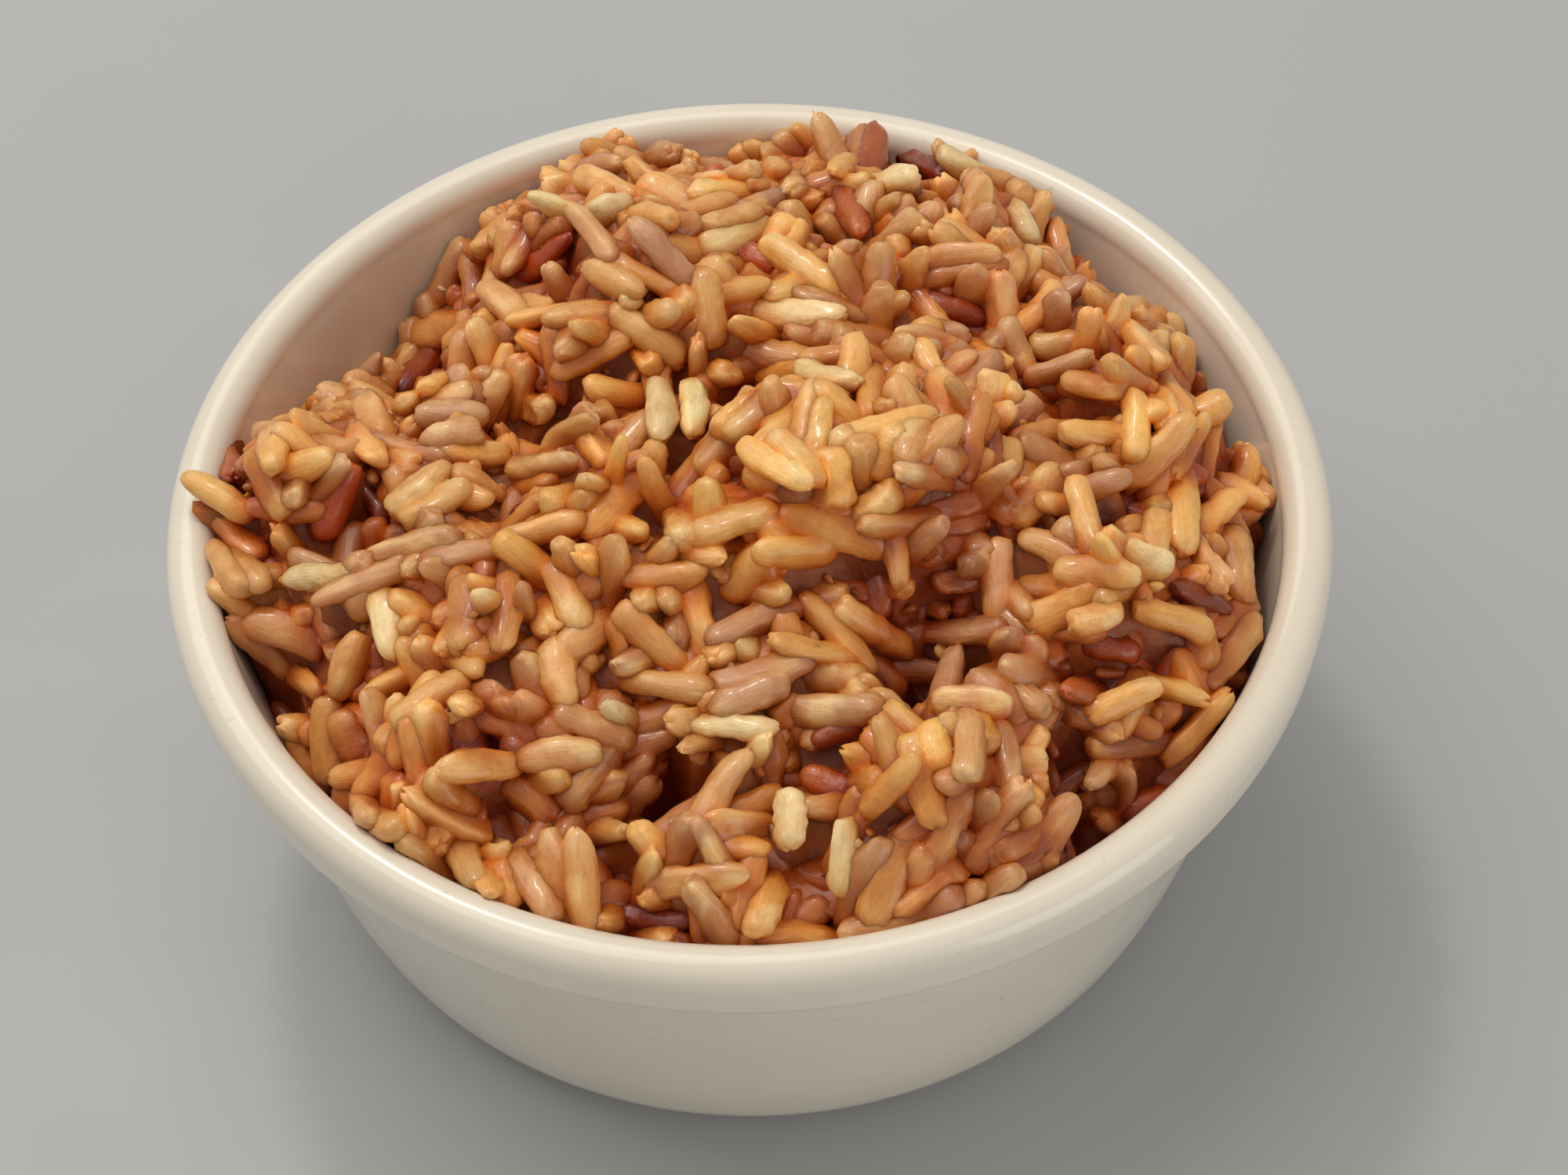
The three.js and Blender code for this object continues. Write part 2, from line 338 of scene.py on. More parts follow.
# ---- Bowl ----
# The inside from the lip down, and the outside from the foot up, in radius and height.
INSIDE = (
    (LIP_X - LIP_RADIUS, LIP_Z),
    (RIM_RADIUS * 0.88, BOWL_HEIGHT * 0.78),
    (RIM_RADIUS * 0.827, BOWL_HEIGHT * 0.5),
    (RIM_RADIUS * 0.755, BOWL_HEIGHT * 0.24),
    (RIM_RADIUS * 0.66, BOWL_HEIGHT * 0.13),
    (RIM_RADIUS * 0.5, FLOOR_HEIGHT + 0.2),
)
OUTSIDE = (
    (FOOT_RADIUS, 0),
    (FOOT_RADIUS + 5.6, 3.0),
    (FOOT_RADIUS + 8.1, 8.4),
    (RIM_RADIUS * 0.888, BOWL_HEIGHT * 0.52),
    (RIM_RADIUS * 0.938, BOWL_HEIGHT - BAND_HEIGHT - 0.7),
)
INNER_WALL = smooth_line(INSIDE, 40)


def make_bowl():
    """The bowl as one turned outline: foot, side, band, lip and inside."""
    recess = FOOT_RADIUS - FOOT_RING_WIDTH
    band_x = RIM_RADIUS - 0.2 - BAND_EDGE_RADIUS
    band_z = BOWL_HEIGHT - BAND_HEIGHT + BAND_EDGE_RADIUS
    parts = (
        [(recess * share, FOOT_RECESS) for share in (0.3, 0.6, 0.85)],
        smooth_line(((recess - 1.6, FOOT_RECESS), (recess - 0.9, 0.7), (recess + 0.3, 0)), 8),
        [(recess + 1.2, 0), (FOOT_RADIUS - 0.8, 0)],
        smooth_line(OUTSIDE, 44),
        arc(band_x, band_z, BAND_EDGE_RADIUS, -90, 0, 10),
        arc(LIP_X, LIP_Z, LIP_RADIUS, 0, 180, 28)[:-1],
        INNER_WALL,
        [(RIM_RADIUS * share, FLOOR_HEIGHT + 0.05) for share in (0.38, 0.2, 0.08)],
    )
    profile = np.concatenate(parts)
    sides = 192
    angle = 2 * np.pi * np.arange(sides) / sides
    radius, height = profile[:, :1], profile[:, 1:]
    x, y, z = radius * np.cos(angle), radius * np.sin(angle), np.repeat(height, sides, 1)
    rings = np.stack([x, y, z], -1).reshape(-1, 3)
    points = np.concatenate([[(0, 0, FOOT_RECESS)], rings, [(0, 0, FLOOR_HEIGHT)]])
    faces = ring_faces(len(profile), sides)[:, ::-1]
    make_piece("bowl_glazed", points, faces, glaze_material(), "glaze", "bowl")


# ---- Form of the heap ----
def inside_radius(z):
    """Radius of the bowl's inside at a height, on the lip as well as below it."""
    z = np.asarray(z, float)
    below = np.interp(z, INNER_WALL[::-1, 1], INNER_WALL[::-1, 0])
    over = np.clip(z - LIP_Z, 0, LIP_RADIUS)
    return np.where(z < LIP_Z, below, LIP_X - np.sqrt(LIP_RADIUS**2 - over**2))


def heap_form(x, y):
    """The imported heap's form, as the height of its grains' middles."""
    share = np.clip(1 - (x * x + y * y) / (HEAP_EDGE * HEAP_EDGE), 0, None)
    z = BOWL_HEIGHT - EDGE_DROP + DOME_RISE * share**0.85
    for mx, my, spread, rise in MOUNDS:
        z = z + rise * np.exp(-((x - mx) ** 2 + (y - my) ** 2) / spread**2)
    return z


SIGHT_DEPTHS = np.linspace(190, 400, 800)  # steps before the camera that reach the heap


def photo_points(pixels, lift=0.0, form=heap_form):
    """Where rays through pixels of the photo meet the heap's surface raised by lift."""
    pixels = np.asarray(pixels, float)
    focal = LENS / SENSOR_WIDTH * PHOTO_WIDTH
    across = (pixels[..., 0] - PHOTO_WIDTH / 2) / focal
    upward = (PHOTO_HEIGHT / 2 - pixels[..., 1]) / focal
    ray = np.stack([across, upward, -np.ones_like(across)], -1) @ camera_axes.T
    at = np.array(CAMERA_PLACE) + ray[..., None, :] * SIGHT_DEPTHS[:, None]
    under = at[..., 2] < form(at[..., 0], at[..., 1]) + lift
    first = np.argmax(under, -1)
    return np.take_along_axis(at, first[..., None, None], -2)[..., 0, :]


# Clumps of grains that stick together: name, pixel of the middle, how far it stands out.
CLUMPS = (
    ("middle, back left", (985, 560), 0.8),
    ("middle, right", (1200, 570), 0.5),
    ("middle, front left", (920, 660), 0.6),
    ("shaded face", (1190, 750), -1.0),
    ("left slope", (740, 690), 0.6),
    ("left of upright pair", (770, 570), 0.0),
    ("upright pair", (862, 520), 0.2),
    ("back left lump", (640, 420), 0.6),
    ("back left ridge", (725, 280), 0.9),
    ("behind pale grains", (860, 370), 0.6),
    ("back middle", (950, 240), -0.4),
    ("back right ridge", (1130, 240), -0.7),
    ("back right slope", (1290, 310), 0.4),
    ("behind middle", (1040, 430), 0.3),
    ("right of that", (1250, 460), -0.2),
    ("back right, high", (1430, 400), 0.7),
    ("back right clump", (1460, 540), 0.9),
    ("right edge", (1590, 700), -0.3),
    ("right clump", (1440, 790), 0.9),
    ("middle to right", (1370, 640), -0.2),
    ("front clump", (1180, 1000), 0.9),
    ("right front", (1440, 940), 0.0),
    ("front right edge", (1300, 1085), -0.2),
    ("front", (1060, 1090), 0.4),
    ("front, left of it", (890, 1090), 0.1),
    ("before middle", (930, 900), 0.3),
    ("mash", (745, 930), -0.3),
    ("front left", (530, 960), 0.8),
    ("front left edge", (715, 1080), 0.1),
    ("left, with pale grain", (480, 820), 0.2),
    ("left middle", (610, 770), 0.3),
    ("left clump", (380, 610), 0.7),
    ("under left clump", (370, 730), 0.0),
    ("left edge, low", (400, 900), -0.3),
    ("left, behind", (540, 580), 0.2),
    ("left back edge", (480, 500), -0.2),
    ("left wall", (315, 765), 1.4),
    ("left before middle", (830, 800), 0.2),
    ("before shaded face", (1090, 820), 0.1),
    ("right of valley", (1260, 890), 0.0),
)
CLUMP_BLEND = 18  # square mm over which one clump's rise passes into the next
CREASE_DEPTH = 2.8
CREASE_WIDTH = 2.0
CREASE_REACH = 9.5  # from a clump's middle to where its creases end
CREASE_FADE = 3

clump_middles = photo_points([row[1] for row in CLUMPS])[:, :2]
clump_rises = np.array([row[2] for row in CLUMPS])


def clump_gaps(x, y):
    """Squared distances to the middles of the clumps."""
    return np.stack([(x - mx) ** 2 + (y - my) ** 2 for mx, my in clump_middles], -1)


def heap_height(x, y):
    """Height of the top grains' middles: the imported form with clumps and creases."""
    gap = clump_gaps(x, y)
    weight = np.exp(-(gap - gap.min(-1, keepdims=True)) / CLUMP_BLEND)
    rise = (weight * clump_rises).sum(-1) / weight.sum(-1)
    near = np.sort(np.sqrt(gap), -1)
    crease = np.exp(-(((near[..., 1] - near[..., 0]) / CREASE_WIDTH) ** 2))
    crease = crease * np.clip((CREASE_REACH - near[..., 0]) / CREASE_FADE, 0, 1)
    return heap_form(x, y) + rise - CREASE_DEPTH * crease


def unit(vectors):
    return vectors / np.maximum(np.linalg.norm(vectors, axis=-1, keepdims=True), 1e-6)


def heap_normal(x, y):
    step = 1.5
    lean_x = heap_height(x - step, y) - heap_height(x + step, y)
    lean_y = heap_height(x, y - step) - heap_height(x, y + step)
    return unit(np.stack([lean_x, lean_y, np.full_like(x, 2 * step)], -1))


# ---- Where the grains lie ----
# Grains that stand out in the photo: name, kind and the pixels of the two ends.
STANDOUTS = (
    ("before middle", "pale", (882, 925), (994, 928)),
    ("low at front", "pale", (1080, 1041), (1070, 1142)),
    ("behind low one", "pale", (1006, 1003), (1009, 1084)),
    ("slanting, back left", "pale", (779, 397), (871, 460)),
    ("behind middle, lying", "pale", (954, 400), (1078, 403)),
    ("left one of pair", "pale", (839, 482), (845, 560)),
    ("right one of pair", "pale", (882, 482), (885, 560)),
    ("curved, on back ridge", "pale", (897, 317), (983, 288)),
    ("left of middle, far", "pale", (487, 754), (500, 840)),
    ("shoulder of middle", "pale", (1016, 469), (1092, 488)),
    ("on back left ridge", "pale", (747, 275), (804, 256)),
    ("back right ridge", "pale", (1290, 262), (1318, 312)),
    ("end of right clump", "pale", (1445, 705), (1484, 722)),
    ("crossing middle", "golden", (987, 648), (1137, 705)),
    ("lying left on middle", "golden", (882, 686), (990, 648)),
    ("tip of middle", "golden", (1062, 580), (1066, 640)),
    ("upright behind middle", "golden", (1121, 453), (1105, 546)),
    ("top left of middle", "golden", (926, 560), (984, 510)),
    ("right of tip", "golden", (1120, 610), (1146, 550)),
    ("hanging under middle", "golden", (926, 762), (971, 702)),
    ("under shade of clump", "tan", (1067, 772), (1162, 833)),
    ("big, on back ridge", "golden", (973, 304), (1072, 371)),
    ("left slope, slanting", "golden", (744, 680), (824, 610)),
    ("left slope, upright", "golden", (701, 720), (745, 800)),
    ("left front, slanting", "tan", (785, 775), (870, 850)),
    ("left, short and lying", "golden", (567, 580), (650, 580)),
    ("left front, long", "tan", (461, 805), (427, 890)),
    ("left front, upright", "tan", (590, 740), (592, 830)),
    ("left front, beside it", "tan", (650, 730), (640, 830)),
    ("front left, standing", "tan", (700, 820), (722, 900)),
    ("front, lying", "tan", (790, 868), (905, 880)),
    ("right clump, hanging", "golden", (1511, 601), (1508, 710)),
    ("right clump, low", "golden", (1446, 776), (1548, 804)),
    ("right clump, left end", "golden", (1310, 800), (1400, 752)),
    ("right edge, slanting", "tan", (1534, 878), (1604, 790)),
    ("right edge, round", "tan", (1573, 675), (1587, 769)),
    ("left ridge, low", "red", (654, 365), (727, 304)),
    ("in back hollow", "red", (938, 317), (976, 339)),
    ("back right ridge, upright", "red", (1072, 244), (1100, 300)),
    ("at very back", "red", (1150, 195), (1205, 225)),
    ("right of back ridge", "red", (1180, 380), (1255, 408)),
    ("left edge, high", "red", (505, 500), (565, 440)),
    ("left front", "red", (570, 907), (615, 968)),
    ("before middle, high", "red", (1040, 945), (1105, 925)),
    ("before middle, low", "red", (1025, 984), (1085, 1010)),
    ("under right clump", "red", (1390, 822), (1446, 832)),
    ("front right edge", "red", (1439, 1036), (1488, 1008)),
    ("behind right clump", "red", (1401, 664), (1453, 626)),
    ("right edge", "red", (1495, 748), (1566, 776)),
    ("by left rim", "red", (284, 565), (296, 610)),
    ("left hollow", "red", (465, 625), (485, 655)),
    ("front edge", "red", (790, 1165), (880, 1175)),
)
RIM_GRAIN = ((-50.6, 1.6, 45.3), (-44.4, -2.9, 44.2))  # ends of the grain over the rim

# Dark gaps between the grains: name, pixel, radius.
GAPS = (
    ("left of upright pair", (680, 555), 2.6),
    ("before upright pair", (862, 592), 1.4),
    ("right of upright pair", (925, 505), 1.5),
    ("behind upright pair", (805, 470), 1.3),
    ("under middle", (1075, 725), 0.9),
    ("under its shaded face", (1180, 740), 0.8),
    ("right of middle", (1315, 720), 1.6),
    ("right before middle", (1165, 888), 1.6),
    ("before pale grain", (885, 980), 1.7),
    ("valley at front", (835, 1040), 1.7),
    ("end of valley", (775, 1098), 2.0),
    ("by red grains", (1045, 968), 1.2),
    ("by low grain", (1018, 1095), 1.2),
    ("left hollow", (470, 650), 1.6),
    ("left front", (590, 945), 2.2),
    ("low left", (620, 1020), 2.0),
    ("left wall, front", (355, 885), 1.6),
    ("front edge, right", (1385, 1085), 1.8),
    ("front right", (1362, 960), 1.7),
    ("right wall", (1570, 560), 1.0),
    ("under right clump", (1410, 845), 1.0),
    ("left of left slope", (618, 662), 1.2),
    ("left of mash", (640, 860), 1.2),
    ("back right", (1388, 528), 1.3),
    ("right of valley", (1250, 842), 1.0),
)

# Parts of the heap that lean to golden (above 0) or to mauve (below 0), partly the rice's own tone and
# partly painted light and shade, golden on lit tops and mauve on shaded sides: name, pixel, spread,
# lean.
TONE_AND_LIGHT_PATCHES = (
    ("left clump", (420, 700), 5, -0.3),
    ("left hollow", (510, 720), 6, -0.6),
    ("mash", (745, 930), 7, -1.0),
    ("shaded side", (1200, 730), 9, -1.0),
    ("before shaded side", (1240, 840), 5, -0.6),
    ("before middle, left", (865, 770), 4, -0.5),
    ("right front", (1400, 910), 7, -0.8),
    ("front right edge", (1250, 1120), 7, -0.6),
    ("back right", (1300, 430), 8, -0.5),
    ("right of back right", (1390, 520), 4, -0.5),
    ("behind back left ridge", (745, 330), 4, -0.5),
    ("middle clump", (1010, 590), 9, 1.1),
    ("front left of middle", (925, 655), 5, 0.7),
    ("left slope", (720, 660), 8, 0.7),
    ("right clump", (1430, 780), 6, 0.9),
    ("back right clump", (1490, 560), 6, 0.9),
    ("front clump", (1150, 960), 6, 0.7),
    ("left edge", (300, 650), 5, 0.5),
    ("front left", (555, 885), 7, 0.7),
    ("back ridge", (960, 300), 12, 0.4),
    ("left edge, front", (350, 640), 5, 0.5),
    ("right edge, front", (1530, 830), 5, 0.6),
    ("behind middle", (940, 450), 4, 0.6),
    ("foot of left ridge", (690, 460), 4, 0.5),
    ("left middle", (650, 850), 4, -0.8),
    ("before middle", (965, 850), 3, -0.7),
    ("back right slope", (1420, 470), 6, 0.5),
)


# ---- Grains as rods, and how they settle ----
SHELL = 6.6  # depth of the layer of grains over the sticky mass
FIT = 0.76  # a rod's radius as a share of its grain's, so that the grains nestle
TOP_ROOM = 1.25  # room that an end keeps under the top, in rod radii
WALL_ROOM = 0.15
LIP_ROOM = 0.4
HOMING = 0.05  # share of the way home that a grain drifts back in each round
SEARCH_EVERY = 5  # rounds from one search for neighbours to the next
SIGHT_LENGTH = 30
SIGHT_MARGIN = 0.3  # how near a grain may come to a sight line on a marked one


def close_points(a0, a1, b0, b1):
    """Nearest points of pairs of segments, as shares of their lengths."""
    u, v, w = a1 - a0, b1 - b0, a0 - b0
    uu, uv, vv = (u * u).sum(-1), (u * v).sum(-1), (v * v).sum(-1)
    uw, vw = (u * w).sum(-1), (v * w).sum(-1)
    below = np.maximum(uu * vv - uv * uv, 1e-9)
    s = np.clip((uv * vw - vv * uw) / below, 0, 1)
    t = np.clip((uv * s + vw) / np.maximum(vv, 1e-9), 0, 1)
    s = np.clip((uv * t - uw) / np.maximum(uu, 1e-9), 0, 1)
    return s, t


def segment_distance(a0, a1, b0, b1):
    s, t = close_points(a0, a1, b0, b1)
    return np.linalg.norm(a0 + (a1 - a0) * s[..., None] - b0 - (b1 - b0) * t[..., None], axis=-1)


class Pile:
    """Grains as round-ended rods, moved until they hardly pass through each other."""

    def __init__(self, ends, radius, held):
        self.a, self.b = ends[:, 0].copy(), ends[:, 1].copy()
        self.radius = radius
        self.held = held
        self.length = np.linalg.norm(self.b - self.a, axis=1)
        self.home = (self.a + self.b) / 2
        self.give = np.where(held, 0.0, 1.0)

    def neighbours(self, room=1.0):
        middle = (self.a + self.b) / 2
        reach = self.length / 2 + self.radius
        apart = np.linalg.norm(middle[:, None] - middle[None], axis=-1)
        return np.nonzero(np.triu(apart < reach[:, None] + reach[None] + room, 1))

    def part(self, i, j):
        """Push touching grains apart, each at its own point of contact."""
        s, t = close_points(self.a[i], self.b[i], self.a[j], self.b[j])
        at_i = self.a[i] + (self.b[i] - self.a[i]) * s[:, None]
        at_j = self.a[j] + (self.b[j] - self.a[j]) * t[:, None]
        way = at_i - at_j
        apart = np.maximum(np.linalg.norm(way, axis=1), 1e-6)
        overlap = self.radius[i] + self.radius[j] - apart
        hit = overlap > 0
        i, j, s, t = i[hit], j[hit], s[hit], t[hit]
        way = way[hit] / apart[hit, None]
        both = np.maximum(self.give[i] + self.give[j], 1.0)
        for who, where, sign in ((i, s, 1), (j, t, -1)):
            push = sign * way * (overlap[hit] * (self.give[who] / both) * 0.5)[:, None]
            np.add.at(self.a, who, push * (1.5 - where)[:, None])
            np.add.at(self.b, who, push * (0.5 + where)[:, None])

    def keep_in(self):
        """Hold both ends of each grain in the bowl, under the top and over the dense middle."""
        for end in (self.a, self.b):
            low = heap_height(end[:, 0], end[:, 1]) - SHELL
            end[:, 2] = np.clip(end[:, 2], low, HIGHEST - self.radius * TOP_ROOM)
            far = np.hypot(end[:, 0], end[:, 1])
            wall = inside_radius(np.minimum(end[:, 2], BOWL_HEIGHT - LIP_ROOM))
            shrink = np.minimum(1, (wall - self.radius - WALL_ROOM) / np.maximum(far, 1e-6))
            end[~self.held, :2] *= shrink[~self.held, None]

    def keep_length(self):
        middle = (self.a + self.b) / 2
        half = (self.b - self.a) / 2
        half *= (self.length / np.maximum(2 * np.linalg.norm(half, axis=1), 1e-6))[:, None]
        self.a, self.b = middle - half, middle + half

    def settle(self, rounds):
        for k in range(rounds):
            if k % SEARCH_EVERY == 0:
                i, j = self.neighbours()
            drift = (self.home - (self.a + self.b) / 2) * HOMING * self.give[:, None]
            self.a += drift
            self.b += drift
            self.part(i, j)
            self.keep_in()
            self.keep_length()

    def reached(self, starts, reach):
        """Loose grains within reach of any sight line from starts towards the camera."""
        away = starts + unit(np.array(CAMERA_PLACE) - starts) * SIGHT_LENGTH
        near = segment_distance(starts[:, None], away[:, None], self.a[None], self.b[None])
        return ~self.held & (near < reach[:, None] + self.radius[None] / FIT).any(0)

    def hidden(self):
        """Loose grains that stand between the camera and a held one."""
        to_camera = unit(np.array(CAMERA_PLACE) - self.home[self.held])
        starts = []
        for share in (0.0, 0.35, 0.65, 1.0):
            axis = self.a[self.held] * (1 - share) + self.b[self.held] * share
            starts.append(axis + to_camera * self.radius[self.held, None])
        starts = np.concatenate(starts)
        return self.reached(starts, np.full(len(starts), SIGHT_MARGIN))

    def kept(self, keep):
        """A pile of some of the grains, at home where they now are."""
        return Pile(np.stack([self.a, self.b], 1)[keep], self.radius[keep], self.held[keep])


# ---- Where the loose grains start ----
LOOSE_COUNT = 2080
BUNDLE_SIZE = 2.4  # grains in a bundle, on average
SPIRAL_RADIUS = RIM_RADIUS * 0.885
LOOSE_RADIUS = RIM_RADIUS * 0.89
GOLDEN_ANGLE = math.pi * (3 - math.sqrt(5))
GOLDEN_SHARE = 0.618034
SHORT_SHARE = 0.15
TURN = 6.3  # about a full turn, for random angles


def lay_bundles(bundles, rng):
    """Places, headings, tilts and depths of bundles of grains, over an even spiral."""
    k = rng.permutation(bundles)
    far = SPIRAL_RADIUS * np.sqrt((k + 0.5) / bundles)
    x, y = far * np.cos(k * GOLDEN_ANGLE), far * np.sin(k * GOLDEN_ANGLE)
    nearest = np.argmin(clump_gaps(x, y), -1)
    outward = np.arctan2(y - clump_middles[nearest, 1], x - clump_middles[nearest, 0])
    by_clump = rng.random(bundles) < 0.5
    sway = rng.normal(0, 0.5, bundles)
    heading = outward + np.where(by_clump, sway, rng.uniform(0, TURN, bundles))
    tilt = rng.normal(0, 0.5, bundles)
    depth = (np.arange(bundles) * GOLDEN_SHARE) % 1.0 * (SHELL - 0.6) - 0.9
    return x, y, heading, tilt, depth


def scatter(count, rng):
    """Ends of loose grains, in bundles of a few that lie side by side."""
    x, y, heading, tilt, depth = lay_bundles(int(count / BUNDLE_SIZE), rng)
    bundle = np.sort(rng.integers(0, len(x), count))
    place = np.arange(count) - np.searchsorted(bundle, bundle)
    heading = heading[bundle] + rng.normal(0, 0.22, count)
    tilt = tilt[bundle] + rng.normal(0, 0.2, count)
    cos, sin = np.cos(heading), np.sin(heading)
    side = np.stack([-sin, cos], -1) * (place * GRAIN_WIDTH * 0.9)[:, None]
    slip = np.stack([cos, sin], -1) * rng.normal(0, 1.4, (count, 1))
    x, y = x[bundle] + side[:, 0] + slip[:, 0], y[bundle] + side[:, 1] + slip[:, 1]
    most = LOOSE_RADIUS / np.maximum(np.hypot(x, y), LOOSE_RADIUS)
    x, y = x * most, y * most
    normal = heap_normal(x, y)
    along = np.stack([cos, sin, np.zeros(count)], -1)
    along = unit(along - normal * (along * normal).sum(-1, keepdims=True))
    along = along * np.cos(tilt)[:, None] + normal * np.sin(tilt)[:, None]
    middle = np.stack([x, y, heap_height(x, y)], -1) - normal * depth[bundle][:, None]
    short = rng.random(count) < SHORT_SHARE
    short_length = rng.uniform(4.4, 6.2, count)
    length = np.where(short, short_length, rng.uniform(6.4, 9.4, count))
    half = along * ((length - GRAIN_WIDTH) / 2)[:, None]
    return np.stack([middle - half, middle + half], 1)


# ---- Kinds of grains, and the whole pile ----
MARKED_LIFT = 1.2  # of marked grains over the heap's form, but for the red ones
GAP_DROP = 3.2
GAP_SHARE = 0.4  # share of a gap's radius that grains keep out of
FIRST_ROUNDS, LAST_ROUNDS = 40, 60
TONE_SPREAD = 0.42
TONE_EDGES = (-0.45, 0.0, 0.45)
PALE_SHARE = 0.04
RED_SHARE = 0.005
TONE_OF = {"golden": 0.8, "honey": 0.4, "tan": -0.1}


def tone_and_light_lean(x, y):
    """How far the patches lean to golden or to mauve at a place, as tone and as painted light and shade.
    """
    total = np.zeros_like(x)
    for _, pixel, spread, amount in TONE_AND_LIGHT_PATCHES:
        mx, my = photo_points([pixel])[0, :2]
        total += amount * np.exp(-((x - mx) ** 2 + (y - my) ** 2) / spread**2)
    return total


def pick_kinds(pile, rng):
    """Each grain's tone from mauve at -1 to golden at 1, partly painted light and shade from the
    patches, and its kind.
    """
    middle = (pile.a + pile.b) / 2
    tone_and_light = tone_and_light_lean(middle[:, 0], middle[:, 1]) + rng.normal(0, TONE_SPREAD, len(middle))
    tone_and_light = np.clip(tone_and_light, -1, 1)
    bands = np.array(["mauve", "tan", "honey", "golden"])
    kinds = bands[np.digitize(tone_and_light, TONE_EDGES)]
    draw = rng.random(len(middle))
    kinds = np.where(draw < PALE_SHARE, "pale", kinds)
    return tone_and_light, np.where(draw > 1 - RED_SHARE, "red", kinds)


def marked_grains():
    """Ends and kinds of the grains that lie where the photo shows them."""
    ends = []
    for _, kind, first, last in STANDOUTS:
        lift = 0.0 if kind == "red" else MARKED_LIFT
        ends.append(photo_points([(first, last)], lift, heap_height))
    ends = np.concatenate([*ends, [RIM_GRAIN]])
    span = np.linalg.norm(ends[:, 1] - ends[:, 0], axis=1)
    half = (np.clip(span, SHORTEST_GRAIN, LONGEST_GRAIN) - GRAIN_WIDTH) / 2
    middle = ends.mean(1, keepdims=True)
    way = (ends - middle) / (span / 2)[:, None, None]
    return middle + way * half[:, None, None], [row[1] for row in STANDOUTS] + ["golden"]


def grain_sizes(ends, held, kinds, rng):
    """Length, width and thickness of each grain. The held ones are the first, and have kinds."""
    held_width = rng.uniform(1.0, 1.15, len(ends))
    width = GRAIN_WIDTH * np.where(held, held_width, rng.uniform(0.84, 1.15, len(ends)))
    width[: len(kinds)] *= np.where(np.array(kinds) == "red", 0.84, 1.0)
    thickness = width * rng.uniform(0.64, 0.92, len(ends))
    length = np.linalg.norm(ends[:, 1] - ends[:, 0], axis=1) + GRAIN_WIDTH
    return np.stack([length, width, thickness], -1)


def lay_pile(rng):
    """All the grains as settled rods, with their sizes, tones (partly painted light and shade) and
    kinds.
    """
    marked, marked_kinds = marked_grains()
    ends = np.concatenate([marked, scatter(LOOSE_COUNT, rng)])
    held = np.arange(len(ends)) < len(marked)
    size = grain_sizes(ends, held, marked_kinds, rng)
    pile = Pile(ends, (size[:, 1] + size[:, 2]) / 4 * FIT, held)
    pile.settle(FIRST_ROUNDS)
    gaps = photo_points([pixel for _, pixel, _ in GAPS], -GAP_DROP, heap_height)
    radii = np.array([radius for _, _, radius in GAPS])
    keep = ~pile.reached(gaps, radii * GAP_SHARE)
    pile, size = pile.kept(keep), size[keep]
    pile.settle(LAST_ROUNDS)
    keep = ~pile.hidden()
    pile, size = pile.kept(keep), size[keep]
    tone_and_light, kinds = pick_kinds(pile, rng)
    kinds[: len(marked)] = marked_kinds
    tone_and_light[: len(marked)] = [TONE_OF.get(kind, 0.0) for kind in marked_kinds]
    return pile, size, tone_and_light, kinds


# ---- Heights of the pile ----
CELL = 0.4
HALF_GRID = RIM_RADIUS * 0.92
BED_DEPTH = 1.5  # of the grid's lowest heights under the layer of grains
CREST_REACH = 2.4
CREST_BLEND = 1.6


class Heights:
    """Heights over a square grid round the middle of the bowl."""

    def __init__(self, values):
        self.values = values

    def at(self, x, y):
        u, v = (x + HALF_GRID) / CELL, (y + HALF_GRID) / CELL
        i = np.clip(np.floor(u).astype(int), 0, self.values.shape[1] - 2)
        j = np.clip(np.floor(v).astype(int), 0, self.values.shape[0] - 2)
        fu, fv = np.clip(u - i, 0, 1), np.clip(v - j, 0, 1)
        near = self.values[j, i] * (1 - fu) + self.values[j, i + 1] * fu
        return near * (1 - fv) + (self.values[j + 1, i] * (1 - fu) + self.values[j + 1, i + 1] * fu) * fv

    def moved(self, radius):
        """The grid shifted by each step within a radius, its edge repeated."""
        reach = int(radius / CELL)
        rows, columns = self.values.shape
        wide = np.pad(self.values, reach, mode="edge")
        for dx in range(-reach, reach + 1):
            for dy in range(-reach, reach + 1):
                if dx * dx + dy * dy <= (radius / CELL) ** 2:
                    yield wide[reach + dy : reach + dy + rows, reach + dx : reach + dx + columns]

    def over(self, pick, radius):
        """Heights picked from all those within a radius of each place."""
        return Heights(pick(list(self.moved(radius)), 0))

    def above(self, points):
        """How far these heights are above points."""
        return self.at(points[..., 0], points[..., 1]) - points[..., 2]


def grid_places():
    ticks = np.arange(-HALF_GRID, HALF_GRID, CELL)
    return np.meshgrid(ticks, ticks)


def pile_tops(pile):
    """Heights of the rods' tops, with each rod as a row of balls."""
    gx, gy = grid_places()
    height = heap_height(gx, gy) - SHELL - BED_DEPTH
    for share in np.linspace(0, 1, 12):
        for centre, radius in zip(pile.a + (pile.b - pile.a) * share, pile.radius):
            column, row = ((centre[:2] + HALF_GRID) / CELL).round().astype(int)
            reach = int(radius / CELL) + 1
            rows = slice(max(row - reach, 0), row + reach + 1)
            columns = slice(max(column - reach, 0), column + reach + 1)
            flat = (gx[rows, columns] - centre[0]) ** 2 + (gy[rows, columns] - centre[1]) ** 2
            top = centre[2] + np.sqrt(np.maximum(radius**2 - flat, 0))
            top = np.where(flat < radius**2, top, -math.inf)
            height[rows, columns] = np.maximum(height[rows, columns], top)
    return Heights(height)


# ---- Shapes of the grains ----
GRAIN_FINENESS = (15, 12)  # rings and sides of a grain's mesh
BURST_SHARE, PALE_BURST_SHARE = 0.28, 0.1
STICK = 1.5  # reach over which neighbouring grains run into each other
STICK_RISE = 0.55


